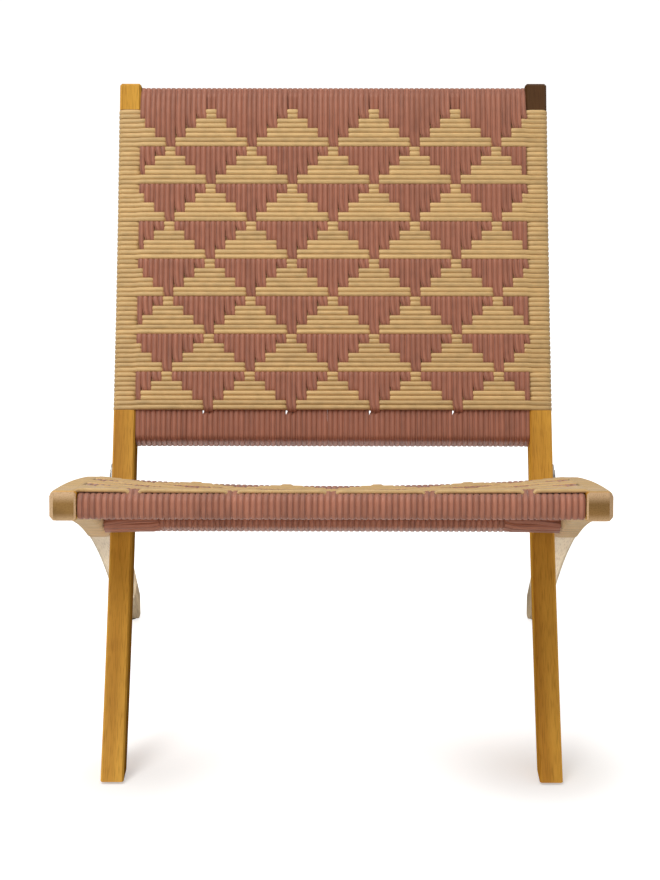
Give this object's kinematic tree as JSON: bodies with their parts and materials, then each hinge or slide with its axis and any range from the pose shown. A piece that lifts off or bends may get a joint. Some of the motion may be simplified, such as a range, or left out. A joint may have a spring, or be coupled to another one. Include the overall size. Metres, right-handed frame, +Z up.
{
  "type": "folding lounge chair",
  "caption": "Low folding lounge chair: two crossed curved hardwood frames on one pivot line, with a seat and a back woven in two colours of cord.",
  "frame": {"origin": "on the floor under the middle of the open chair", "axes": "+Z up, the chair faces -Y, +X towards the sitter's left"},
  "size_m": [0.6232, 0.752, 0.7731],
  "materials": {
    "hardwood": "satin",
    "tenon_wood": "matte",
    "rose_cord": "matte",
    "straw_cord": "matte",
    "steel": "satin",
    "dark_plastic": "matte"
  },
  "bodies": {
    "back_frame": {"back_post_left": "hardwood", "back_post_right": "hardwood", "back_top_rail": "hardwood", "back_lower_rail": "hardwood", "back_rail_tenons": "tenon_wood", "back_warp_cords": "rose_cord", "back_weft_cords": "straw_cord", "post_plate_left": "steel", "post_plate_right": "steel", "plate_screws": "steel", "pivot_bolt_left": "steel", "pivot_bolt_right": "steel", "pivot_nuts": "steel", "pivot_washers": "steel", "pivot_spacers": "steel", "front_glides": "dark_plastic"},
    "seat_frame": {"seat_side_left": "hardwood", "seat_side_right": "hardwood", "seat_front_rail": "hardwood", "seat_rear_rail": "hardwood", "seat_rail_tenons": "tenon_wood", "seat_warp_cords": "rose_cord", "seat_weft_cords": "straw_cord", "pivot_bushes": "steel", "rear_glides": "dark_plastic"}
  },
  "joints": [
    {"name": "fold", "type": "hinge", "parent": "back_frame", "child": "seat_frame", "pos_m": [0, -0.03416, 0.28302], "axis": [-1, 0, 0], "range_deg": [0, 70]}
  ]
}
